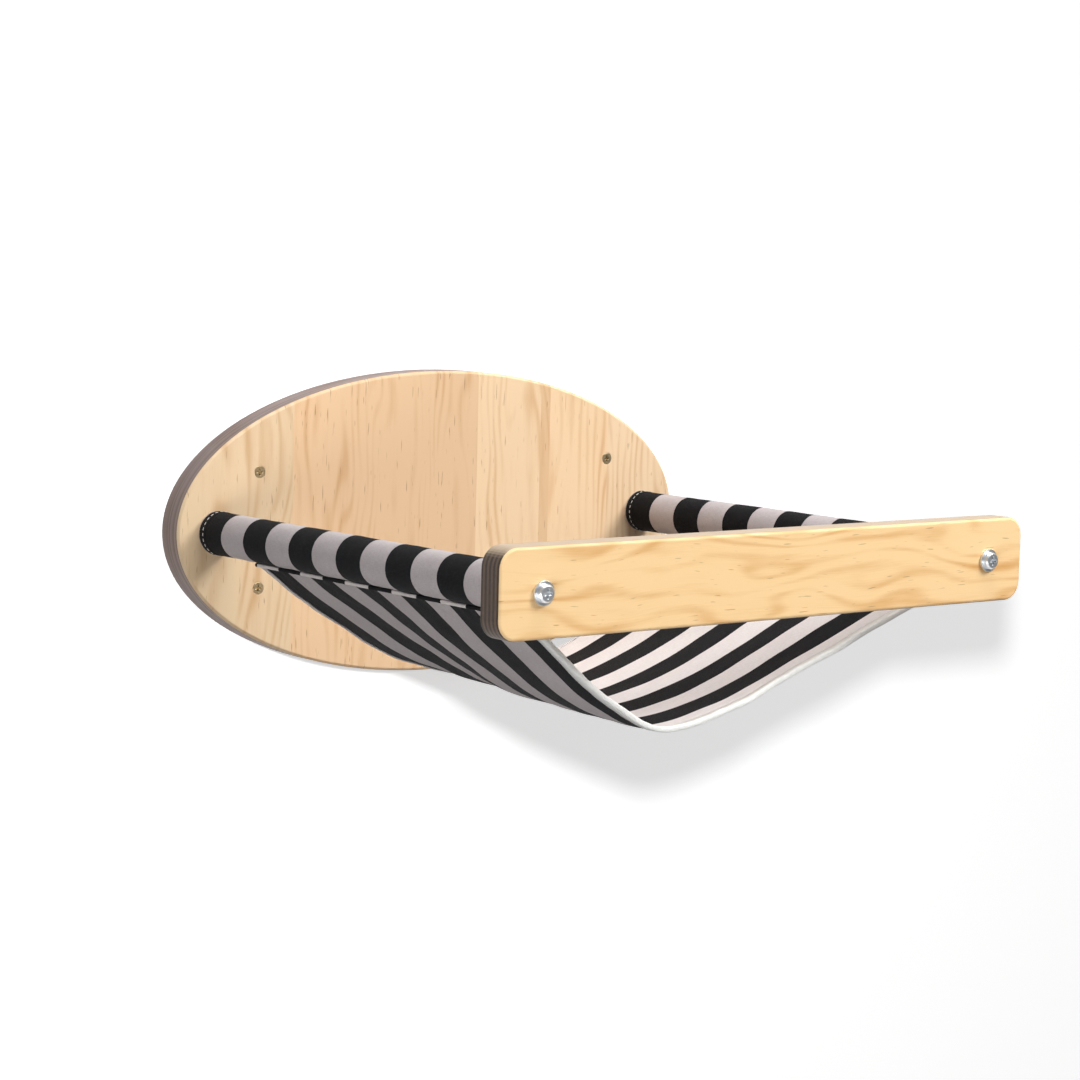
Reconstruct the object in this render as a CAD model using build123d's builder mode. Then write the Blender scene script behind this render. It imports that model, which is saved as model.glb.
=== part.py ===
"""Wall-mounted cat hammock: oval backboard, two dowels, crossbar and canvas sling."""

import os
from math import atan, cos, sin, sqrt

from build123d import *

# All sizes are in millimetres. The origin is the centre of the backboard's back face,
# which lies on the wall. +X is to the right as seen from the room, -Y comes out of the
# wall and +Z is up.

# Oval backboard
board_width = 408.0
board_height = 201.0
board_thickness = 19.0
board_rim_chamfer = 1.5

# Dowels that stand out of the backboard, set in from its ends
dowel_diameter = 25.0
dowel_inset = 29.0
dowel_length = 317.0

# Crossbar that joins the dowels' front ends and reaches beyond their axes
bar_overhang = 30.0
bar_height = 52.0
bar_thickness = 18.0
bar_corner_radius = 12.0
bar_edge_radius = 2.0
bar_edge_chamfer = 1.5

# Machine bolts through the crossbar and the backboard, and the crossbar's washers
bolt_diameter = 6.0
bolt_hole_clearance = 0.25
bolt_tip_room = 2.0
bar_bolt_length = 35.0
bar_bolt_head_diameter = 10.5
bar_bolt_head_height = 3.0
bar_bolt_head_chamfer = 0.9
board_bolt_length = 35.0
board_bolt_head_diameter = 12.0
board_bolt_head_depth = 0.3
washer_diameter = 14.0
washer_thickness = 1.6
washer_hole_clearance = 0.2
thread_clearance = 0.05

# Wood screws that hold the backboard to the wall, set in from its ends
screw_inset = 60.5
screw_spacing_z = 75.0
screw_thread_diameter = 4.0
screw_shank_diameter = 3.0
screw_length = 50.0
screw_head_diameter = 8.0
screw_hole_clearance = 0.25

# Countersunk heads and cross recesses
countersink_angle = 90.0
countersink_clearance = 0.1
screw_recess_width = 4.4
screw_recess_slot = 1.1
screw_recess_depth = 1.6
bolt_recess_width = 5.6
bolt_recess_slot = 1.5
bolt_recess_depth = 2.2

# Canvas
canvas_thickness = 0.8
cloth_gap = 0.3

# Sling between the dowels: on each side of its valley the underside is a hyperbola. The
# lists have one value for each section, evenly spaced from the rear edge to the front.
seam_inset = 2.0
seam_drop = 16.0
sling_sag = 94.0
rear_edge = 68.0
front_setback = 3.0
rear_recess = 12.0
front_recess = 21.0
section_overrun = 3.0
valley_x = (0.0, -21.0, -35.0, -42.0, -42.5)
roundness_left = (1.5, 0.4, 0.46, 0.62, 0.2)
roundness_right = (1.5, 1.13, 0.75, 0.38, 0.2)
profile_steps = (-1.02, -0.75, -0.5, -0.27, -0.13, -0.05, 0, 0.05, 0.13, 0.27, 0.5, 0.75, 1.02)
edge_steps = (-1.0, -0.65, -0.3, 0.0, 0.3, 0.65, 1.0)

# Tapes folded over the sling's free edges and along its seams
tape_thickness = 0.5
front_tape_width = 5.0
rear_tape_width = 3.0
seam_tape_width = 4.6
seam_tape_drop = 0.5
seam_tape_radius = 0.8

# Places and sizes that follow from the values above
dowel_spacing = board_width - 2 * dowel_inset
screw_spacing_x = board_width - 2 * screw_inset
bar_length = dowel_spacing + 2 * bar_overhang
bar_back = board_thickness + dowel_length
bar_front = bar_back + bar_thickness
washer_front = bar_front + washer_thickness
bar_bolt_tip = washer_front - bar_bolt_length
board_bolt_tip = board_bolt_head_depth + board_bolt_length
bolt_radius = bolt_diameter / 2
bolt_hole_radius = bolt_radius + bolt_hole_clearance
tapped_radius = bolt_radius + thread_clearance
sleeve_bore = dowel_diameter / 2 + cloth_gap
sleeve_radius = sleeve_bore + canvas_thickness
seam_x = dowel_spacing / 2 - seam_inset
front_edge = bar_back - front_setback
panel_thickness = 2 * canvas_thickness
dowel_x = {"left": -dowel_spacing / 2, "right": dowel_spacing / 2}
screw_x = {"left": -screw_spacing_x / 2, "right": screw_spacing_x / 2}
screw_z = {"upper": screw_spacing_z / 2, "lower": -screw_spacing_z / 2}
upright = (Align.CENTER, Align.CENTER, Align.MIN)


def facing(depth, x=0.0, z=0.0):
    """Plane at a depth in front of the wall that faces the room."""
    return Plane(origin=(x, -depth, z), x_dir=(1, 0, 0), z_dir=(0, -1, 0))


def facing_wall(depth, x=0.0, z=0.0):
    """Plane at a depth in front of the wall that faces the wall."""
    return Plane(origin=(x, -depth, z), x_dir=(1, 0, 0), z_dir=(0, 1, 0))


def save(part, name):
    """Label a finished piece and write it."""
    part.label = name
    export_step(part, f"parts/{name}.step")


def cut_cross(plane, width, slot, depth):
    """Cut a cross recess into the head being built."""
    with BuildSketch(plane) as cross:
        Rectangle(width, slot)
        Rectangle(slot, width)
    extrude(cross.sketch, amount=-depth, mode=Mode.SUBTRACT)


def countersunk_head(plane, radius, neck_radius):
    """Add a countersunk head whose flat face lies on a plane."""
    fall = radius - neck_radius
    with Locations(plane.offset(-fall)):
        Cone(neck_radius, radius, fall, align=upright)


def place_across(step, valley):
    """X of a step that runs from -1 at the left seam, by 0 at the valley, to 1 at the right."""
    return valley + step * (seam_x + valley if step < 0 else seam_x - valley)


def sling_height(x, valley, left, right):
    """Height of the underside of one section of the sling."""
    half_width = seam_x + valley if x < valley else seam_x - valley
    roundness = left if x < valley else right
    t = abs(x - valley) / half_width
    rise = (sqrt(t**2 + roundness**2) - roundness) / (sqrt(1 + roundness**2) - roundness)
    return -sling_sag + (sling_sag - seam_drop) * rise


def sling_profile(valley, left, right, offset):
    """Curve across one section, at a distance above its underside and square to it."""
    points = []
    for step in profile_steps:
        x = place_across(step, valley)
        after = sling_height(x + canvas_thickness, valley, left, right)
        before = sling_height(x - canvas_thickness, valley, left, right)
        angle = atan((after - before) / (2 * canvas_thickness))
        height = sling_height(x, valley, left, right)
        points.append((x - offset * sin(angle), height + offset * cos(angle)))
    return Edge.make_spline(points, parameters=profile_steps)


def free_edge(depth, recess, valley):
    """Plan points of a free edge that draws in by a recess at the valley."""
    points = []
    for step in edge_steps:
        points.append((place_across(step, valley), -depth - recess * (1 - step**2)))
    return points


def rear_line(inset):
    """Plan points of the sling's rear edge, moved towards its front by an inset."""
    return free_edge(rear_edge + inset, rear_recess, valley_x[0])


def front_line(inset):
    """Plan points of the sling's front edge, moved towards its rear by an inset."""
    return free_edge(front_edge - inset, -front_recess, valley_x[-1])


def sling_sheet(low, high, rear, front):
    """Sheet between two distances from the sling's underside, cut to two plan edges."""
    pitch = (front_edge - rear_edge + 2 * section_overrun) / (len(valley_x) - 1)
    sections = zip(valley_x, roundness_left, roundness_right)
    with BuildPart() as sheet:
        for index, shape in enumerate(sections):
            lower = sling_profile(*shape, low)
            upper = sling_profile(*shape, high)
            with BuildSketch(facing(rear_edge - section_overrun + index * pitch)):
                with BuildLine():
                    add(lower)
                    Line(lower @ 1, upper @ 1)
                    add(upper)
                    Line(upper @ 0, lower @ 0)
                make_face()
        loft()
        with BuildSketch(Plane.XY.offset(-2 * sling_sag)):
            with BuildLine():
                Spline(*rear)
                Line(rear[-1], front[-1])
                Spline(*reversed(front))
                Line(front[0], rear[0])
            make_face()
        extrude(amount=2 * sling_sag, mode=Mode.INTERSECT)
        for x in dowel_x.values():
            with BuildSketch(facing(0, x)):
                Circle(sleeve_radius + cloth_gap)
            extrude(amount=bar_back, mode=Mode.SUBTRACT)
    return sheet.part


def folded_tape(rear, front, inner_rear, inner_front):
    """Tape folded round a free edge of the sling."""
    wrap = cloth_gap + tape_thickness
    with BuildPart() as tape:
        add(sling_sheet(-wrap, panel_thickness + wrap, rear, front))
        inside = sling_sheet(-cloth_gap, panel_thickness + cloth_gap, inner_rear, inner_front)
        add(inside, mode=Mode.SUBTRACT)
    return tape.part


os.makedirs("parts", exist_ok=True)

# Backboard: an oval with an eased front rim, countersunk in front for the wall screws
# and behind for the dowels' bolts
with BuildPart() as backboard:
    with BuildSketch(Plane.XZ):
        Ellipse(board_width / 2, board_height / 2)
    extrude(amount=board_thickness)
    front_rim = backboard.edges().group_by(Axis.Y)[0]
    chamfer(front_rim, board_rim_chamfer)
    with Locations(facing(board_thickness)):
        with GridLocations(screw_spacing_x, screw_spacing_z, 2, 2):
            CounterSinkHole(
                radius=screw_thread_diameter / 2 + screw_hole_clearance,
                counter_sink_radius=screw_head_diameter / 2 + countersink_clearance,
                counter_sink_angle=countersink_angle,
            )
    with Locations(facing_wall(board_bolt_head_depth)):
        with GridLocations(dowel_spacing, 0, 2, 1):
            CounterSinkHole(
                radius=bolt_hole_radius,
                counter_sink_radius=board_bolt_head_diameter / 2 + countersink_clearance,
                counter_sink_angle=countersink_angle,
            )
save(backboard.part, "backboard")

# Dowels: each end is tapped for its bolt
for side, x in dowel_x.items():
    with BuildPart() as dowel:
        with BuildSketch(facing(board_thickness, x)):
            Circle(dowel_diameter / 2)
        extrude(amount=dowel_length)
        with Locations(facing_wall(board_thickness, x)):
            Hole(tapped_radius, board_bolt_tip + bolt_tip_room - board_thickness)
        with Locations(facing(bar_back, x)):
            Hole(tapped_radius, bar_back - bar_bolt_tip + bolt_tip_room)
    save(dowel.part, f"dowel_{side}")

# Bolts that hold the dowels to the backboard, countersunk just below its back face
for side, x in dowel_x.items():
    with BuildPart() as board_bolt:
        with BuildSketch(facing(board_bolt_head_depth, x)):
            Circle(bolt_radius)
        extrude(amount=board_bolt_length)
        head_plane = facing_wall(board_bolt_head_depth, x)
        countersunk_head(head_plane, board_bolt_head_diameter / 2, bolt_radius)
        cut_cross(head_plane, bolt_recess_width, bolt_recess_slot, bolt_recess_depth)
    save(board_bolt.part, f"rear_bolt_{side}")

# Crossbar: a bar with rounded corners, its edges rounded in front and chamfered behind,
# drilled for the front bolts
with BuildPart() as crossbar:
    with BuildSketch(facing(bar_back)):
        RectangleRounded(bar_length, bar_height, bar_corner_radius)
    extrude(amount=bar_thickness)
    fillet(crossbar.edges().group_by(Axis.Y)[0], bar_edge_radius)
    chamfer(crossbar.edges().group_by(Axis.Y)[-1], bar_edge_chamfer)
    with Locations(facing(bar_front)):
        with GridLocations(dowel_spacing, 0, 2, 1):
            Hole(bolt_hole_radius)
save(crossbar.part, "crossbar")

# Washers in front of the crossbar
for side, x in dowel_x.items():
    with BuildPart() as washer:
        with BuildSketch(facing(bar_front, x)):
            Circle(washer_diameter / 2)
            Circle(bolt_radius + washer_hole_clearance, mode=Mode.SUBTRACT)
        extrude(amount=washer_thickness)
    save(washer.part, f"crossbar_washer_{side}")

# Round-headed bolts through the crossbar
for side, x in dowel_x.items():
    with BuildPart() as bar_bolt:
        with BuildSketch(facing(bar_bolt_tip, x)):
            Circle(bolt_radius)
        extrude(amount=bar_bolt_length)
        with BuildSketch(facing(washer_front, x)):
            Circle(bar_bolt_head_diameter / 2)
        extrude(amount=bar_bolt_head_height)
        chamfer(bar_bolt.edges().sort_by(Axis.Y)[0], bar_bolt_head_chamfer)
        head_plane = facing(washer_front + bar_bolt_head_height, x)
        cut_cross(head_plane, bolt_recess_width, bolt_recess_slot, bolt_recess_depth)
    save(bar_bolt.part, f"crossbar_bolt_{side}")

# Wall screws: a thin shank inside the backboard and the wider thread behind it
for level, z in screw_z.items():
    for side, x in screw_x.items():
        with BuildPart() as screw:
            head_plane = facing(board_thickness, x, z)
            countersunk_head(head_plane, screw_head_diameter / 2, screw_shank_diameter / 2)
            with BuildSketch(facing(0, x, z)):
                Circle(screw_shank_diameter / 2)
            extrude(amount=board_thickness - screw_recess_depth)
            with BuildSketch(facing_wall(0, x, z)):
                Circle(screw_thread_diameter / 2)
            extrude(amount=screw_length - board_thickness)
            cut_cross(head_plane, screw_recess_width, screw_recess_slot, screw_recess_depth)
        save(screw.part, f"wall_screw_{level}_{side}")

# Canvas sleeves on the dowels
for side, x in dowel_x.items():
    with BuildPart() as sleeve:
        with BuildSketch(facing(board_thickness + cloth_gap, x)):
            Circle(sleeve_radius)
            Circle(sleeve_bore, mode=Mode.SUBTRACT)
        extrude(amount=dowel_length - 2 * cloth_gap)
    save(sleeve.part, f"sleeve_{side}")

# Sling: a canvas and its lining sewn into one panel, with a tape round each free edge
sling = sling_sheet(0, panel_thickness, rear_line(0), front_line(0))
save(sling, "sling")
wrap = cloth_gap + tape_thickness
front_tape = folded_tape(
    front_line(front_tape_width),
    front_line(-wrap),
    front_line(front_tape_width + wrap),
    front_line(-cloth_gap),
)
save(front_tape, "front_binding")
rear_tape = folded_tape(
    rear_line(-wrap),
    rear_line(rear_tape_width),
    rear_line(-cloth_gap),
    rear_line(rear_tape_width + wrap),
)
save(rear_tape, "rear_binding")

# Seam tapes under the sleeves, between the sling's edge and the sleeve
for side, x in dowel_x.items():
    inner = seam_x + cloth_gap
    top = -sleeve_radius - cloth_gap
    bottom = -seam_drop - seam_tape_drop
    centre_x = (inner + seam_tape_width / 2) * (1 if x > 0 else -1)
    with BuildPart() as seam_tape:
        with BuildSketch(facing(rear_edge, centre_x, (top + bottom) / 2)):
            RectangleRounded(seam_tape_width, top - bottom, seam_tape_radius)
        extrude(amount=front_edge - rear_edge)
    save(seam_tape.part, f"seam_strip_{side}")
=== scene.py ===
import math

import bpy
import numpy as np
from mathutils import Matrix, Vector

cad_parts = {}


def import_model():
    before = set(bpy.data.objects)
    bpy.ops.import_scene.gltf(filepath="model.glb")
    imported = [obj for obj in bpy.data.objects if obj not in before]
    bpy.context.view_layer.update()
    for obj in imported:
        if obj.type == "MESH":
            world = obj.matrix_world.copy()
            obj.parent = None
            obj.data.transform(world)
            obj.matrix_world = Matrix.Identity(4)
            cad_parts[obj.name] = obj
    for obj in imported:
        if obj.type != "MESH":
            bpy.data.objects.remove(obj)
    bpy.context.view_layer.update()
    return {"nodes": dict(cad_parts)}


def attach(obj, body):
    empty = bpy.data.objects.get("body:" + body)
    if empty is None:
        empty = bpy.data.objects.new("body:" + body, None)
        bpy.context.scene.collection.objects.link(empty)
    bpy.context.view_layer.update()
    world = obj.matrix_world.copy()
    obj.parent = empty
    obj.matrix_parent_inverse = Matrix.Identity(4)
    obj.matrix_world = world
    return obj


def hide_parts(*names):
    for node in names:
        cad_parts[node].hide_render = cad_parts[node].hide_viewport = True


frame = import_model()

# Lengths are in millimetres, the CAD model's own sizes, and become metres in make_mesh.
# Lamps and the camera are placed in metres.
MM = 0.001
FULL_TURN = 2 * math.pi

# Wooden frame and its screws
board_front = 19.0
bar_back = 336.0
dowel_x = {"left": -175.0, "right": 175.0}
screw_x = {"left": -143.5, "right": 143.5}
screw_z = {"upper": 37.5, "lower": -37.5}

# Sleeves
sleeve_bore = 12.75
sleeve_outer = 13.55
sleeve_radius = 13.5
sleeve_hem = 8.5

# Sling: depths are from the wall, and the five sections run from the rear edge to the front
canvas = 0.75
layer_gap = 0.05
seam_x = 173.0
seam_drop = 16.0
sling_sag = 94.0
rear_edge = 68.0
front_edge = 333.0
rear_recess = 12.0
front_recess = 21.0
section_overrun = 3.0
valley_x = (0.0, -21.0, -35.0, -42.0, -42.5)
roundness_left = (1.5, 0.4, 0.46, 0.6, 0.1)
roundness_right = (1.5, 1.13, 0.75, 0.38, 0.12)
half_width = 190.0
flat_half_width = 195.0

# Tapes and stitches
front_tape_width = 5.0
rear_tape_width = 3.0
seam_tape_x = 175.6
seam_tape_z = -15.2
front_stitch_inset = 6.2
rear_stitch_inset = 1.9
sleeve_stitch_inset = 5.2

# Stripes: depths at which one stripe ends, and their width
sleeve_stripes = 45.5, 25.4
panel_stripes = 94.8, 24.1


# Surfaces of the cloth


def through(values, share):
    """Smooth curve through evenly spaced values, at shares from 0 to 1."""
    values = np.asarray(values, float)
    last = len(values) - 1
    place = np.clip(share, 0.0, 1.0) * last
    index = np.minimum(place.astype(int), last - 1)
    t = place - index
    before, after = 2 * values[0] - values[1], 2 * values[-1] - values[-2]
    padded = np.concatenate([[before], values, [after]])
    a, b, c, d = (padded[index + k] for k in range(4))
    bend = 2 * a - 5 * b + 4 * c - d + t * (3 * (b - c) + d - a)
    return b + 0.5 * t * (c - a + t * bend)


def waves(across, along, seed, wavelength, count=9):
    """Gentle random ripples between about -1 and 1 over a surface in millimetres."""
    rng = np.random.default_rng(seed)
    total = np.zeros(np.broadcast(across, along).shape)
    for _ in range(count):
        angle = rng.uniform(0, math.pi)
        length = wavelength * rng.uniform(0.7, 1.6)
        phase = rng.uniform(0, FULL_TURN)
        reach = across * math.cos(angle) + along * math.sin(angle)
        total = total + np.sin(FULL_TURN * reach / length + phase)
    return total / math.sqrt(count) / 1.6


def sling_base(step, cut):
    """Points of the sling's underside: step runs from -1 at the left seam to 1 at the right,
    and cut is the depth on the flat cloth."""
    length = front_edge - rear_edge
    forward = (cut - rear_edge) / length
    recess = front_recess * forward**3 - rear_recess * (1 - forward) ** 3
    depth = cut - recess * (1 - step**2)
    share = (depth - rear_edge + section_overrun) / (length + 2 * section_overrun)
    valley = through(valley_x, share)
    x = valley + step * np.where(step < 0, seam_x + valley, seam_x - valley)
    left = through(roundness_left, share)
    right = through(roundness_right, share)
    roundness = np.where(step < 0, left, right)
    rise = np.sqrt(step**2 + roundness**2) - roundness
    rise = rise / (np.sqrt(1 + roundness**2) - roundness)
    z = -sling_sag + (sling_sag - seam_drop) * rise
    return np.stack([x, -depth, z], -1)


def sling_ripples(step, cut):
    """How far the loaded canvas stands off its smooth form: broad and fine waves where it
    hangs free, flutter along the free edges, and puckers at the seams."""
    seam_reach, free_reach, edge_reach, pucker_pitch = 16.0, 14.0, 9.0, 11.5
    across = step * half_width
    from_seam = (1 - np.abs(step)) * half_width
    from_edge = np.minimum(front_edge - cut, cut - rear_edge)
    broad = 0.75 * waves(across, cut, 3, 74.0)
    fine = 0.22 * waves(across, cut, 5, 24.0)
    flutter = 0.5 * np.exp(-from_edge / edge_reach) * waves(across, cut, 11, 38.0)
    drift = 1.3 * waves(across, cut, 8, 60.0)
    puckers = 0.3 * np.exp(-from_seam / seam_reach) * np.sin(FULL_TURN * cut / pucker_pitch + drift)
    free = np.clip(from_seam / free_reach, 0, 1)
    unsewn = np.clip((1 - np.abs(step)) * 60, 0, 1)
    return free * (broad + fine + flutter) + puckers * unsewn


def sling_point(step, cut, offset):
    """Points at an offset above the sling's underside."""
    near_step, near_cut = 0.002, 0.5
    step, cut = np.broadcast_arrays(np.asarray(step, float), np.asarray(cut, float))
    over_step = sling_base(step + near_step, cut) - sling_base(step - near_step, cut)
    over_cut = sling_base(step, cut + near_cut) - sling_base(step, cut - near_cut)
    normal = np.cross(over_cut, over_step)
    normal /= np.linalg.norm(normal, axis=-1, keepdims=True)
    height = np.asarray(offset) + sling_ripples(step, cut)
    return sling_base(step, cut) + normal * height[..., None]


def sleeve_point(side, turn, depth, radius):
    """Points round a sleeve: turn is 0 at the top, and runs towards +X."""
    down = 0.5 + 0.5 * np.cos(turn - math.pi)
    drawn = 0.35 * down**16
    around = turn * sleeve_radius
    slack = 0.10 * waves(around, depth, 21, 26.0) + 0.07 * waves(around, depth, 23, 9.0)
    from_end = np.minimum(depth - board_front, bar_back - depth)
    hem = 0.32 * np.clip(sleeve_hem - from_end, 0, 1)
    r = radius + drawn + slack + hem
    return np.stack([dowel_x[side] + r * np.sin(turn), -depth, r * np.cos(turn)], -1)


# Meshes


def make_mesh(name, points, faces, uvs=None):
    """Object from points in millimetres, with one texture coordinate in metres per point."""
    mesh = bpy.data.meshes.new(name)
    mesh.from_pydata([tuple(p) for p in np.asarray(points) * MM], [], faces)
    if uvs is not None:
        layer = mesh.uv_layers.new(name="cut")
        corners = np.empty(len(mesh.loops), int)
        mesh.loops.foreach_get("vertex_index", corners)
        layer.data.foreach_set("uv", (np.asarray(uvs) * MM)[corners].ravel())
    mesh.shade_smooth()
    mesh.validate()
    obj = bpy.data.objects.new(name, mesh)
    bpy.context.scene.collection.objects.link(obj)
    return obj


def grid_faces(rows, columns, start=0, flip=False, closed=False):
    """Quads over a grid of points stored row by row, closed into a ring if asked."""
    faces = []
    for i in range(rows - 1):
        for j in range(columns if closed else columns - 1):
            a = start + i * columns + j
            b = start + i * columns + (j + 1) % columns
            c = b + columns
            d = a + columns
            faces.append((a, d, c, b) if flip else (a, b, c, d))
    return faces


def end_caps(rows, columns, start=0):
    """Faces over the first and last ring of a closed grid."""
    last = start + (rows - 1) * columns
    first_cap = tuple(start + j for j in range(columns - 1, -1, -1))
    return [first_cap, tuple(last + j for j in range(columns))]


def thick_sheet(name, lower, upper, uvs):
    """Closed thin solid between two grids of points of the same shape."""
    rows, columns = lower.shape[:2]
    count = rows * columns
    faces = grid_faces(rows, columns) + grid_faces(rows, columns, count, flip=True)
    rim = list(range(columns))
    rim += [i * columns + columns - 1 for i in range(1, rows)]
    rim += [(rows - 1) * columns + j for j in range(columns - 2, -1, -1)]
    rim += [i * columns for i in range(rows - 2, 0, -1)]
    for k, a in enumerate(rim):
        b = rim[(k + 1) % len(rim)]
        faces.append((b, a, a + count, b + count))
    points = np.concatenate([lower.reshape(-1, 3), upper.reshape(-1, 3)])
    flat = np.asarray(uvs).reshape(-1, 2)
    return make_mesh(name, points, faces, np.concatenate([flat, flat]))


def swept_strip(name, rings, uvs):
    """Closed solid through rings of points, capped at both ends."""
    rows, columns = rings.shape[:2]
    faces = grid_faces(rows, columns, closed=True) + end_caps(rows, columns)
    return make_mesh(name, rings.reshape(-1, 3), faces, np.asarray(uvs).reshape(-1, 2))


def sling_layer(name, low, high):
    """One canvas of the sling, between two offsets from its underside."""
    trim, columns, rows = 0.4, 201, 151
    steps = np.linspace(-1, 1, columns)
    cuts = np.linspace(rear_edge + trim, front_edge - trim, rows)
    cut, step = np.meshgrid(cuts, steps, indexing="ij")
    lower = sling_point(step, cut, low)
    upper = sling_point(step, cut, high)
    return thick_sheet(name, lower, upper, np.stack([step * flat_half_width, cut], -1))


def folded_tape(name, edge, inward, width, seed):
    """Tape folded round a free edge of the sling: inward is -1 at the front, 1 at the rear."""
    wrap, inside = 0.95, 0.15
    thick = 2 * canvas
    middle = thick / 2
    turns = np.linspace(0, math.pi, 9)
    outer = [(width, -wrap)]
    outer += [(-wrap * math.sin(a), middle - (middle + wrap) * math.cos(a)) for a in turns]
    outer += [(width, thick + wrap)]
    inner = [(width, thick + inside)]
    inner += [(-inside * math.sin(a), middle + (middle + inside) * math.cos(a)) for a in turns]
    inner += [(width, -inside)]
    inset, lift = np.array(outer + inner).T[:, None, :]

    step = np.linspace(-0.997, 0.997, 321)[:, None]
    across, level = step * half_width, 0.0 * step
    uneven_inset = inset + 0.25 * waves(across, level, seed, 15.0)
    uneven_lift = lift * (1 + 0.07 * waves(across, level, seed + 1, 9.0))
    cut = edge + inward * uneven_inset
    rings = sling_point(step + 0 * cut, cut, uneven_lift)
    uvs = np.stack(np.broadcast_arrays(step * flat_half_width, cut + 2 * lift), -1)
    return swept_strip(name, rings, uvs)


def sleeve(name, side):
    """Canvas tube on a dowel, with finer rows over its hems."""
    end_gap, hem_reach, body_start = 0.35, 11.0, 12.0
    turns = np.linspace(0, FULL_TURN, 120, endpoint=False)
    fine = np.linspace(board_front + end_gap, board_front + hem_reach, 22)
    body = np.linspace(board_front + body_start, bar_back - body_start, 150)
    depths = np.concatenate([fine, body, board_front + bar_back - fine[::-1]])
    depth, turn = np.meshgrid(depths, turns, indexing="ij")
    outside = sleeve_point(side, turn, depth, sleeve_outer)
    bore_x = dowel_x[side] + sleeve_bore * np.sin(turn)
    bore = np.stack([bore_x, -depth, sleeve_bore * np.cos(turn)], -1)
    points = np.concatenate([outside.reshape(-1, 3), bore.reshape(-1, 3)])

    rows, columns = depth.shape
    count = rows * columns
    last = count - columns
    faces = grid_faces(rows, columns, flip=True, closed=True)
    faces += grid_faces(rows, columns, count, closed=True)
    for j in range(columns):
        k = (j + 1) % columns
        faces.append((j, k, k + count, j + count))
        faces.append((last + k, last + j, last + j + count, last + k + count))
    flat = np.stack([turn * sleeve_radius, depth], -1).reshape(-1, 2)
    return make_mesh(name, points, faces, np.concatenate([flat, flat]))


def seam_tape(name, side):
    """Rolled seam allowance under a sleeve."""
    half_across, half_high, squareness, round_to_flat = 2.3, 1.25, 0.55, 1.6
    end_trim = 0.3
    angles = np.linspace(0, FULL_TURN, 20, endpoint=False)
    across = half_across * np.sign(np.cos(angles)) * np.abs(np.cos(angles)) ** squareness
    height = half_high * np.sign(np.sin(angles)) * np.abs(np.sin(angles)) ** squareness
    depth = np.linspace(rear_edge + end_trim, front_edge - end_trim, 261)[:, None]
    wobble = 0.16 * waves(depth, 0.0 * depth, 31, 12.0)
    size = 1 - 0.06 * np.abs(waves(depth, 0.0 * depth, 33, 7.0))
    sign = math.copysign(1, dowel_x[side])
    x = sign * (seam_tape_x + wobble + across * size)
    rings = np.stack(np.broadcast_arrays(x, -depth, seam_tape_z + height * size), -1)
    if side == "left":
        rings = rings[:, ::-1]
    uvs = np.stack(np.broadcast_arrays(angles * round_to_flat, depth), -1)
    return swept_strip(name, rings, uvs)


def stitch_row(name, places, along, upward, length=2.8, width=0.7):
    """Row of sewn stitches: places, directions and surface normals, one row each."""
    flattening, bedding = 0.8, 0.3
    ring = np.linspace(0, FULL_TURN, 7, endpoint=False)
    shape = [(-0.5, 0.25), (-0.42, 0.75), (-0.2, 1.0), (0.2, 1.0), (0.42, 0.75), (0.5, 0.25)]
    rows, columns = len(shape), len(ring)
    points, faces = [], []
    for place, direction, normal in zip(places, along, upward):
        direction = direction / np.linalg.norm(direction)
        normal = normal - direction * np.dot(normal, direction)
        normal = normal / np.linalg.norm(normal)
        side = np.cross(direction, normal)
        start = len(points)
        for reach, swell in shape:
            out = width / 2 * swell
            sink = bedding * width * (1 - swell)
            centre = place + direction * reach * length - normal * sink
            for a in ring:
                round_it = side * math.cos(a) + normal * flattening * math.sin(a)
                points.append(centre + out * round_it)
        faces += grid_faces(rows, columns, start, closed=True)
        faces += end_caps(rows, columns, start)
    return make_mesh(name, points, faces)


def stitches_on_sling(name, cut, offset, pitch=3.7):
    """Stitches along the sling at a depth on the flat cloth, above or below it."""
    fine = np.linspace(-0.985, 0.985, 1500)
    line = sling_point(fine, cut + 0 * fine, offset)
    run = np.concatenate([[0], np.cumsum(np.linalg.norm(np.diff(line, axis=0), axis=1))])
    steps = np.interp(np.arange(pitch / 2, run[-1], pitch), run, fine)
    cuts = cut + 0 * steps
    places = sling_point(steps, cuts, offset)
    along = sling_point(steps + 0.004, cuts, offset) - places
    upward = sling_point(steps, cuts, offset + 1.0) - places
    if offset < canvas:
        upward = -upward
    return stitch_row(name, places, along, upward)


def stitches_on_sleeve(name, side, depth, count=24):
    """Ring of stitches round a sleeve."""
    turns = np.arange(count) * FULL_TURN / count
    depths = depth + 0 * turns
    places = sleeve_point(side, turns, depths, sleeve_outer + 0.02)
    along = sleeve_point(side, turns + 0.02, depths, sleeve_outer) - places
    upward = np.stack([np.sin(turns), 0 * turns, np.cos(turns)], -1)
    return stitch_row(name, places, along, upward, length=2.3, width=0.6)


def thread_of_screw(name, x, z):
    """Helical wood-screw thread on the shank behind the wall."""
    turns, per_turn = 9, 24
    start, end = 2.0, 29.0
    root, crest, crest_rise, half_base = 1.75, 2.0, 0.28, 0.55
    rows = turns * per_turn + 1
    points = []
    for k in range(rows):
        share = k / (rows - 1)
        angle = FULL_TURN * k / per_turn
        y = start + (end - start) * share
        grow = min(1, share * 12, (1 - share) * 6)
        profile = ((root, -half_base), (crest + crest_rise * grow, 0.0), (root, half_base))
        for reach, rise in profile:
            points.append((x + reach * math.cos(angle), y + rise, z + reach * math.sin(angle)))
    faces = grid_faces(rows, len(profile), closed=True) + end_caps(rows, len(profile))
    return make_mesh(name, points, faces)


# Materials


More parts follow.
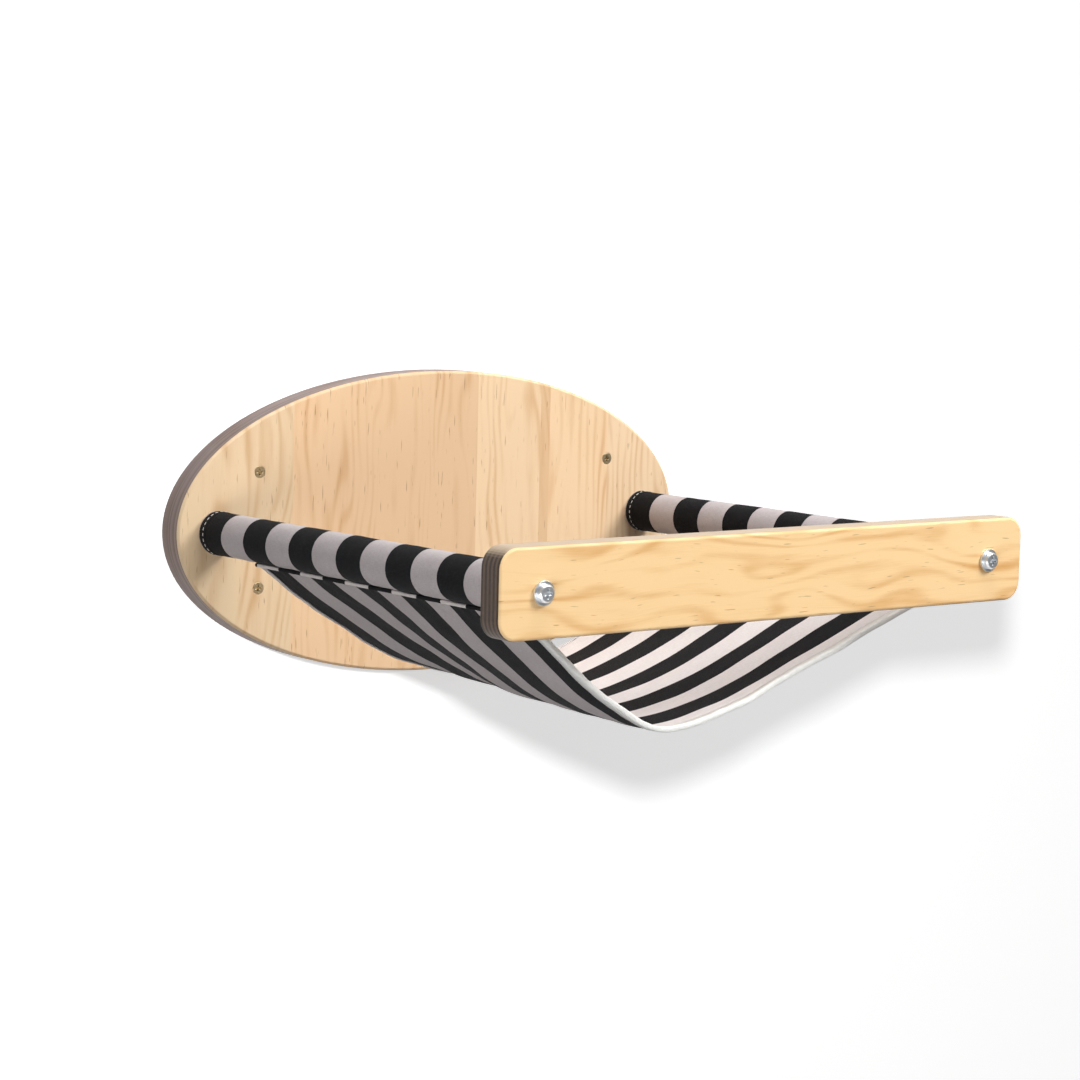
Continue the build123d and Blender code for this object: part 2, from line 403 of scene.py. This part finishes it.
class Shader:
    """One material, and short ways to add nodes to it."""

    def __init__(self, name):
        self.material = bpy.data.materials.new(name)
        self.material.use_nodes = True
        self.tree = self.material.node_tree
        self.surface = self.tree.nodes["Principled BSDF"]

    def add(self, kind, inputs=None, **settings):
        node = self.tree.nodes.new("ShaderNode" + kind)
        for key, value in settings.items():
            setattr(node, key, value)
        for key, value in (inputs or {}).items():
            self.put(node.inputs[key], value)
        return node

    def put(self, socket, value):
        if isinstance(value, bpy.types.NodeSocket):
            self.tree.links.new(value, socket)
        else:
            socket.default_value = value

    def math(self, operation, *values, clamp=False):
        node = self.add("Math", dict(enumerate(values)), operation=operation, use_clamp=clamp)
        return node.outputs[0]

    def wave(self, value, length):
        """Sine wave of a given length over a value."""
        return self.math("SINE", self.math("MULTIPLY", value, FULL_TURN / length))

    def scaled(self, vector, x, y, z):
        node = self.add("VectorMath", {0: vector, 1: (x, y, z)}, operation="MULTIPLY")
        return node.outputs[0]

    def split(self, vector):
        return self.add("SeparateXYZ", {0: vector}).outputs

    def noise(self, vector, scale, detail=2.0, roughness=0.5):
        inputs = {"Vector": vector, "Scale": scale, "Detail": detail, "Roughness": roughness}
        return self.add("TexNoise", inputs).outputs["Fac"]

    def drawn_noise(self, first, second, third, by_first, by_second, detail=1.0, roughness=0.5):
        """Noise that is drawn out by its own amount along each of two coordinates."""
        first = self.math("MULTIPLY", first, by_first)
        second = self.math("MULTIPLY", second, by_second)
        place = self.add("CombineXYZ", {0: first, 1: second, 2: third}).outputs[0]
        return self.noise(place, 1.0, detail, roughness)

    def range(self, value, low, high, to_low=0.0, to_high=1.0):
        inputs = {0: value, 1: low, 2: high, 3: to_low, 4: to_high}
        return self.add("MapRange", inputs, interpolation_type="SMOOTHSTEP").outputs[0]

    def mix(self, share, first, second, blend="MIX"):
        node = self.add("Mix", data_type="RGBA", blend_type=blend)
        self.put(node.inputs[0], share)
        self.put(node.inputs[6], first)
        self.put(node.inputs[7], second)
        return node.outputs[2]

    def bump(self, height, distance, strength=1.0, normal=None):
        inputs = {"Height": height, "Distance": distance, "Strength": strength}
        if normal is not None:
            inputs["Normal"] = normal
        return self.add("Bump", inputs).outputs[0]

    def bevel(self, radius):
        return self.add("Bevel", {"Radius": radius}, samples=6).outputs[0]

    def object_mm(self):
        """The frame's own coordinates, in millimetres."""
        return self.scaled(self.add("TexCoord").outputs["Object"], 1000, 1000, 1000)

    def cloth_mm(self):
        """Coordinates on the flat cloth, in millimetres."""
        return self.scaled(self.add("UVMap").outputs[0], 1000, 1000, 0)

    def facing(self, axis):
        """How far the surface faces along an axis, from -1 to 1."""
        return self.split(self.add("NewGeometry").outputs["True Normal"])[axis]

    def flat_face(self):
        """1 on the faces towards and away from the wall, 0 round the edges."""
        return self.range(self.math("ABSOLUTE", self.facing(1)), 0.45, 0.6)

    def finish(self, **inputs):
        for key, value in inputs.items():
            self.put(self.surface.inputs[key.replace("_", " ")], value)
        return self.material


def rgb(red, green, blue):
    return (red, green, blue, 1.0)


def pine_colour(shader, across, along, other, light, dark, ring_spacing, contrast=1.0):
    """Plain-sawn pine: soft growth rings, fibres and small dark flecks along the grain."""
    grain = across, along, other
    drift = shader.drawn_noise(*grain, 0.02, 0.0045, 2.0)
    broad = shader.drawn_noise(*grain, 0.06, 0.008, 3.0)
    fibre = shader.drawn_noise(*grain, 1.6, 0.035, 3.0, 0.7)
    flecks = shader.drawn_noise(*grain, 0.9, 0.07, 1.0)
    ring = shader.wave(shader.math("MULTIPLY_ADD", drift, 95.0, across), ring_spacing)
    ring = shader.math("POWER", shader.math("MULTIPLY_ADD", ring, 0.5, 0.5), 2.2)
    share = shader.math("MULTIPLY", ring, shader.range(broad, 0.35, 0.75, 0.15, 0.8))
    share = shader.math("MULTIPLY_ADD", shader.math("SUBTRACT", broad, 0.5), 0.9, share)
    share = shader.math("MULTIPLY_ADD", shader.math("SUBTRACT", fibre, 0.5), 0.55, share)
    share = shader.math("MULTIPLY", share, contrast, clamp=True)
    colour = shader.mix(share, light, dark)
    fleck = shader.math("MULTIPLY", shader.range(flecks, 0.69, 0.77), 0.6)
    return shader.mix(fleck, colour, rgb(0.32, 0.17, 0.08)), fibre


# Glued strips of the board from left to right: the joint at which each starts, and its tint
first_strip = rgb(0.80, 0.815, 0.82)
next_strips = (
    (-118.0, rgb(0.84, 0.78, 0.74)),
    (30.0, rgb(0.95, 0.95, 0.95)),
    (84.0, rgb(0.84, 0.76, 0.69)),
    (92.0, rgb(0.98, 0.96, 0.94)),
    (144.0, rgb(0.96, 0.97, 0.99)),
)


def board_material():
    """Edge-joined pine strips with upright grain, and a browner layered rim."""
    light, dark, ring_spacing, contrast = rgb(0.85, 0.625, 0.395), rgb(0.66, 0.385, 0.185), 8.0, 0.8
    shader = Shader("pine_board_look")
    place = shader.object_mm()
    x, _, z = shader.split(place)[:3]
    strip, tint = 0.0, first_strip
    for joint, next_tint in next_strips:
        beyond = shader.math("GREATER_THAN", x, joint)
        strip = shader.math("ADD", beyond, strip)
        tint = shader.mix(beyond, tint, next_tint)
    chance = shader.add("TexWhiteNoise", {"W": strip}, noise_dimensions="1D").outputs["Value"]
    across = shader.math("MULTIPLY_ADD", chance, 400.0, x)
    other = shader.math("MULTIPLY", chance, 30.0)
    face, fibre = pine_colour(shader, across, z, other, light, dark, ring_spacing, contrast)
    face = shader.mix(1.0, face, tint, "MULTIPLY")
    layer = shader.noise(shader.scaled(place, 0.01, 0.42, 0.0), 1.0, 2.0)
    layer = shader.range(layer, 0.35, 0.65)
    smudge = shader.range(shader.noise(place, 0.03, 3.0), 0.3, 0.7, 0.0, 0.5)
    rim = shader.mix(layer, rgb(0.16, 0.105, 0.085), rgb(0.33, 0.235, 0.20))
    rim = shader.mix(smudge, rim, rgb(0.29, 0.23, 0.22))
    colour = shader.mix(shader.flat_face(), rim, face)
    bump = shader.bump(fibre, 0.00006, 0.5, shader.bevel(0.0012))
    return shader.finish(Base_Color=colour, Roughness=0.52, Normal=bump, Specular_IOR_Level=0.4)


def bar_material():
    """Pine-faced plywood: sideways grain in front, dark and light plies round the edges, and a
    painted highlight on the edges that face upwards.
    """
    light, dark, ring_spacing, contrast = rgb(0.88, 0.61, 0.315), rgb(0.66, 0.345, 0.115), 9.0, 1.15
    ply_pitch = 3.6
    shader = Shader("plywood_look")
    place = shader.object_mm()
    x, y, z = shader.split(place)[:3]
    bend = shader.drawn_noise(x, z, 3.0, 0.006, 0.01)
    across = shader.math("MULTIPLY_ADD", bend, 34.0, z)
    face, fibre = pine_colour(shader, across, x, 4.0, light, dark, ring_spacing, contrast)
    wobble = shader.drawn_noise(x, z, 7.0, 0.02, 0.03)
    depth = shader.math("MULTIPLY_ADD", y, -1.0, -bar_back)
    ply = shader.wave(shader.math("ADD", wobble, depth), ply_pitch)
    ply = shader.range(ply, -0.5, 0.6)
    edge = shader.mix(ply, rgb(0.028, 0.015, 0.009), rgb(0.12, 0.072, 0.043))
    grit = shader.noise(shader.scaled(place, 1.0, 3.0, 1.0), 0.35, 3.0)
    grit = shader.range(grit, 0.35, 0.7, 0.0, 0.55)
    edge = shader.mix(grit, edge, rgb(0.06, 0.036, 0.022))
    # Painted highlight: edges that face upwards are mixed towards pale wood, as if lit from above.
    upward = shader.range(shader.facing(2), 0.5, 0.9, 0.0, 0.7)
    edge = shader.mix(upward, edge, rgb(0.64, 0.49, 0.34))
    colour = shader.mix(shader.flat_face(), edge, face)
    bump = shader.bump(fibre, 0.00006, 0.5, shader.bevel(0.0008))
    return shader.finish(Base_Color=colour, Roughness=0.48, Normal=bump, Specular_IOR_Level=0.4)


def dowel_material():
    """Turned pine with its grain along the dowel."""
    light, dark, ring_spacing = rgb(0.84, 0.63, 0.39), rgb(0.68, 0.45, 0.24), 5.0
    shader = Shader("dowel_look")
    x, y, z = shader.split(shader.object_mm())[:3]
    across = shader.math("ADD", x, z)
    colour, fibre = pine_colour(shader, across, y, 9.0, light, dark, ring_spacing)
    return shader.finish(Base_Color=colour, Roughness=0.55, Normal=shader.bump(fibre, 0.00005, 0.5))


def metal_material(name, clean, dull, roughness):
    """Plated steel with faint cloudiness and fine turning marks."""
    shader = Shader(name)
    place = shader.object_mm()
    cloud = shader.noise(place, 0.5, 4.0, 0.6)
    grain = shader.noise(shader.scaled(place, 1.0, 6.0, 1.0), 2.2, 2.0)
    colour = shader.mix(shader.range(cloud, 0.35, 0.7), clean, dull)
    rough = shader.math("MULTIPLY_ADD", cloud, 0.15, roughness)
    bump = shader.bump(grain, 0.00003, 0.4, shader.bevel(0.0004))
    return shader.finish(Base_Color=colour, Metallic=1.0, Roughness=rough, Normal=bump)


def weave(shader, uv, pitch):
    """Height of a plain weave: two sets of rounded yarns over and under each other."""
    u, v = shader.split(uv)[:2]
    cross = shader.math("MULTIPLY", shader.wave(u, pitch), shader.wave(v, pitch))
    warp = shader.math("ABSOLUTE", shader.wave(u, 2 * pitch))
    weft = shader.math("ABSOLUTE", shader.wave(v, 2 * pitch))
    return shader.math("MULTIPLY_ADD", cross, 0.6, shader.math("ADD", warp, weft))


def canvas_material(name, stripe_edge, stripe_width, light, shade, swap=False):
    """Canvas with woven stripes of black and white, in the opposite order if swapped."""
    weave_pitch, fray_width = 0.62, 0.7
    shader = Shader(name)
    uv = shader.cloth_mm()
    depth = shader.split(uv)[1]
    fray = shader.noise(uv, 1.3, 2.0)
    fray = shader.math("MULTIPLY_ADD", fray, fray_width, -fray_width / 2 - stripe_edge)
    place = shader.math("ADD", depth, fray)
    phase = shader.math("FRACT", shader.math("DIVIDE", place, 2 * stripe_width))
    black = shader.math("GREATER_THAN", phase, 0.5)
    if swap:
        black = shader.math("SUBTRACT", 1.0, black)
    yarn = shader.noise(shader.scaled(uv, 0.25, 2.4, 1), 1.0, 3.0, 0.7)
    pick = shader.noise(shader.scaled(uv, 2.4, 0.25, 1), 1.0, 3.0, 0.7)
    slub = shader.math("MULTIPLY", shader.math("ADD", yarn, pick), 0.5)
    soft = shader.range(shader.noise(uv, 0.03, 2.0), 0.3, 0.7, 0.0, 0.35)
    white = shader.mix(shader.range(slub, 0.35, 0.65), shade, light)
    white = shader.mix(soft, white, shade)
    dark_slub = shader.range(slub, 0.45, 0.72)
    dark = shader.mix(dark_slub, rgb(0.006, 0.006, 0.007), rgb(0.022, 0.022, 0.025))
    colour = shader.mix(black, white, dark)
    slub_height = shader.math("MULTIPLY", slub, 1.5)
    height = shader.math("ADD", weave(shader, uv, weave_pitch), slub_height)
    return shader.finish(
        Base_Color=colour, Roughness=0.9, Normal=shader.bump(height, 0.00009, 0.7),
        Sheen_Weight=0.02, Sheen_Roughness=0.5, Specular_IOR_Level=0.12,
    )


def tape_material(name, light, shade):
    """Cotton tape with a fine diagonal twill."""
    twill_pitch = 0.9
    shader = Shader(name)
    uv = shader.cloth_mm()
    u, v = shader.split(uv)[:2]
    twill = shader.wave(shader.math("ADD", u, v), twill_pitch)
    mottle = shader.range(shader.noise(uv, 0.4, 3.0), 0.35, 0.7)
    colour = shader.mix(mottle, light, shade)
    bump = shader.bump(twill, 0.00005, 0.6)
    return shader.finish(Base_Color=colour, Roughness=0.9, Normal=bump, Sheen_Weight=0.1)


def thread_material():
    """Pale sewing thread."""
    shader = Shader("thread_look")
    mottle = shader.noise(shader.object_mm(), 1.5, 2.0)
    colour = shader.mix(mottle, rgb(0.62, 0.58, 0.54), rgb(0.8, 0.77, 0.73))
    return shader.finish(Base_Color=colour, Roughness=0.7)


# Pieces of the object


def dress(names, material):
    """Give the frame's own pieces a material."""
    for name in names:
        for part in frame["nodes"][name].material_slots:
            part.material = material


def place_piece(obj, material, replaces=None):
    """Give a new piece its material and body, and hide the frame's piece it stands for."""
    obj.data.materials.append(material)
    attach(obj, "root")
    if replaces:
        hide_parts(replaces)
    return obj


def wood():
    dress(["backboard"], board_material())
    dress(["crossbar"], bar_material())
    dress(["dowel_left", "dowel_right"], dowel_material())


def hardware():
    """Bolts and washers in bright zinc, wall screws in yellow zinc with their threads."""
    zinc = metal_material("zinc_look", rgb(0.86, 0.88, 0.90), rgb(0.66, 0.69, 0.72), 0.27)
    yellow = metal_material("yellow_zinc_look", rgb(0.66, 0.52, 0.31), rgb(0.44, 0.34, 0.19), 0.3)
    for side in dowel_x:
        dress([f"crossbar_bolt_{side}", f"crossbar_washer_{side}", f"rear_bolt_{side}"], zinc)
    for level, z in screw_z.items():
        for side, x in screw_x.items():
            dress([f"wall_screw_{level}_{side}"], yellow)
            thread = thread_of_screw(f"screw_thread_{level}_{side}", x, z)
            place_piece(thread, yellow)


def cloth():
    """Two layers of canvas, their tapes and stitches, and a sleeve on each dowel."""
    tape = tape_material("white_tape_look", rgb(0.92, 0.92, 0.89), rgb(0.86, 0.855, 0.82))
    # Painted shade: the rear tape is a greyer copy of the white tape, darkened as if in shade.
    hem = tape_material("painted_shade_tape_look", rgb(0.62, 0.58, 0.57), rgb(0.50, 0.46, 0.46))
    thread = thread_material()
    # Painted shade: the outer canvas and the sleeves get a greyed copy of the white, and the lining
    # gets the lit white of the same canvas.
    painted_shade_whites = rgb(0.64, 0.585, 0.585), rgb(0.50, 0.445, 0.45)
    bright = rgb(0.86, 0.80, 0.785), rgb(0.72, 0.66, 0.65)
    panel = canvas_material("canvas_outer_look", *panel_stripes, *painted_shade_whites)
    inner = canvas_material("canvas_lining_look", *panel_stripes, *bright, swap=True)
    tube = canvas_material("canvas_sleeve_look", *sleeve_stripes, *painted_shade_whites)

    top = 2 * canvas
    outer = sling_layer("canvas_outer", 0.0, canvas)
    lining = sling_layer("canvas_lining", canvas + layer_gap, top + layer_gap)
    front = folded_tape("front_tape", front_edge, -1, front_tape_width, 41)
    rear = folded_tape("rear_tape", rear_edge, 1, rear_tape_width, 43)
    place_piece(outer, panel, "sling")
    place_piece(lining, inner, "sling")
    place_piece(front, tape, "front_binding")
    place_piece(rear, hem, "rear_binding")

    # The front stitches lie on the canvas beside the tape, the rear ones on the tape itself.
    front_cut = front_edge - front_stitch_inset
    rear_cut = rear_edge + rear_stitch_inset
    rows = [
        stitches_on_sling("front_stitches_below", front_cut, -0.06),
        stitches_on_sling("front_stitches_above", front_cut, top + 0.1),
        stitches_on_sling("rear_stitches_below", rear_cut, -0.78),
        stitches_on_sling("rear_stitches_above", rear_cut, top + 0.78),
    ]
    for row in rows:
        place_piece(row, thread)

    for side in dowel_x:
        strip = seam_tape(f"seam_tape_{side}", side)
        skin = sleeve(f"canvas_sleeve_{side}", side)
        ring_depth = board_front + sleeve_stitch_inset
        ring = stitches_on_sleeve(f"sleeve_stitches_{side}", side, ring_depth)
        place_piece(strip, inner, f"seam_strip_{side}")
        place_piece(skin, tube, f"sleeve_{side}")
        place_piece(ring, thread)


# Room, light and camera


def wall_material():
    """Pale wall that shows only from the room, and throws little of its light back."""
    shader = Shader("wall_look")
    path = shader.add("LightPath").outputs
    seen = shader.math("MAXIMUM", path["Is Camera Ray"], path["Is Glossy Ray"])
    seen = shader.math("MAXIMUM", seen, path["Is Transmission Ray"])
    pale = shader.mix(seen, rgb(0.22, 0.22, 0.22), rgb(0.8, 0.8, 0.8))
    diffuse = shader.add("BsdfDiffuse", {"Color": pale}).outputs[0]
    glow = shader.add("Emission", {"Strength": shader.math("MULTIPLY", seen, 0.57)}).outputs[0]
    lit = shader.add("AddShader", {0: diffuse, 1: glow}).outputs[0]
    clear = shader.add("BsdfTransparent").outputs[0]
    behind = shader.add("NewGeometry").outputs["Backfacing"]
    one_sided = shader.add("MixShader", {0: behind, 1: lit, 2: clear}).outputs[0]
    nodes = shader.tree.nodes
    nodes.remove(shader.surface)
    shader.put(nodes["Material Output"].inputs["Surface"], one_sided)
    return shader.material


def room():
    """Wall with an opening behind the backboard, so that its back is lit, and a floor."""
    reach_x, reach_z, room_depth, wall_y = 3200.0, 1500.0, 4200.0, 0.05
    opening_x, opening_z, segments = 203.4, 100.0, 96
    angles = [FULL_TURN * k / segments for k in range(segments)]
    opening = [(opening_x * math.cos(a), wall_y, opening_z * math.sin(a)) for a in angles]
    outline = []
    for a in angles:
        grow = 1 / max(abs(math.cos(a)), abs(math.sin(a)))
        outline.append((reach_x * math.cos(a) * grow, wall_y, reach_z * math.sin(a) * grow))
    faces = grid_faces(2, segments, flip=True, closed=True)
    wall = make_mesh("wall", opening + outline, faces)
    corners = [(-reach_x, wall_y, -reach_z), (reach_x, wall_y, -reach_z)]
    corners += [(reach_x, -room_depth, -reach_z), (-reach_x, -room_depth, -reach_z)]
    floor = make_mesh("floor", corners, [(3, 2, 1, 0)])
    material = wall_material()
    for surface in (wall, floor):
        surface.data.materials.append(material)
    return wall, floor


def area_light(name, place, target, size, power, stage, on_stage=False):
    """Round soft lamp that lights either the stage alone or everything but the stage."""
    data = bpy.data.lights.new(name, "AREA")
    data.shape = "DISK"
    data.size = size
    data.energy = power
    lamp = bpy.data.objects.new(name, data)
    lamp.location = place
    lamp.rotation_euler = (Vector(target) - Vector(place)).to_track_quat("-Z", "Y").to_euler()
    bpy.context.scene.collection.objects.link(lamp)
    linked = bpy.data.collections.new(name + "_linked")
    for index, obj in enumerate(stage):
        linked.objects.link(obj)
        state = "INCLUDE" if on_stage else "EXCLUDE"
        linked.collection_objects[index].light_linking.link_state = state
    lamp.light_linking.receiver_collection = linked


def lamps(stage):
    """Soft lamps for the object, and one small lamp for its shadow on the wall."""
    middle, soft, small = (0.0, -0.2, 0.0), 0.8, 0.09
    area_light("key", (0.95, -1.55, 1.15), middle, soft, 37.0, stage)
    area_light("overhead", (0.0, -0.5, 1.3), middle, soft, 13.0, stage)
    area_light("fill", (-1.2, -1.1, -0.55), middle, soft, 11.0, stage)
    area_light("back_fill", (0.7, 1.6, 0.9), (0.0, 0.0, 0.0), soft, 24.0, stage)
    area_light("wall_lamp", (-0.956, -1.442, 0.323), (1.5, -1.2, 0.2), small, 30.0, stage, True)


def world():
    """White surroundings to the camera, and a dim dome of light that is brighter above."""
    dome_range = {"From Min": -0.3, "From Max": 0.7, "To Min": 0.09, "To Max": 0.40}
    studio = bpy.data.worlds.new("studio")
    bpy.context.scene.world = studio
    studio.use_nodes = True
    nodes, links = studio.node_tree.nodes, studio.node_tree.links
    place = nodes.new("ShaderNodeTexCoord")
    axes = nodes.new("ShaderNodeSeparateXYZ")
    dome = nodes.new("ShaderNodeMapRange")
    path = nodes.new("ShaderNodeLightPath")
    strength = nodes.new("ShaderNodeMix")
    for socket, value in dome_range.items():
        dome.inputs[socket].default_value = value
    strength.inputs[3].default_value = 1.0
    links.new(place.outputs["Generated"], axes.inputs[0])
    links.new(axes.outputs["Z"], dome.inputs["Value"])
    links.new(path.outputs["Is Camera Ray"], strength.inputs[0])
    links.new(dome.outputs[0], strength.inputs[2])
    links.new(strength.outputs[0], nodes["Background"].inputs["Strength"])
    nodes["Background"].inputs["Color"].default_value = rgb(1, 1, 1)


def camera():
    """The photograph's view, fitted to the frame's measured corners."""
    data = bpy.data.cameras.new("camera")
    data.sensor_width = 36.0
    data.lens = 98.97
    data.clip_start, data.clip_end = 0.05, 30.0
    obj = bpy.data.objects.new("camera", data)
    place = (-1.17282, -1.61714, 0.20422)
    right = Vector((0.78704, -0.61639, 0.02519))
    up = Vector((0.04698, 0.10060, 0.99382))
    forward = Vector((0.61511, 0.78099, -0.10813))
    turn = Matrix((right, up, -forward)).transposed().to_4x4()
    obj.matrix_world = Matrix.Translation(place) @ turn
    bpy.context.scene.collection.objects.link(obj)
    bpy.context.scene.camera = obj


wood()
hardware()
cloth()
lamps(room())
world()
camera()
bpy.context.scene.view_settings.view_transform = "Standard"

bpy.context.view_layer.update()
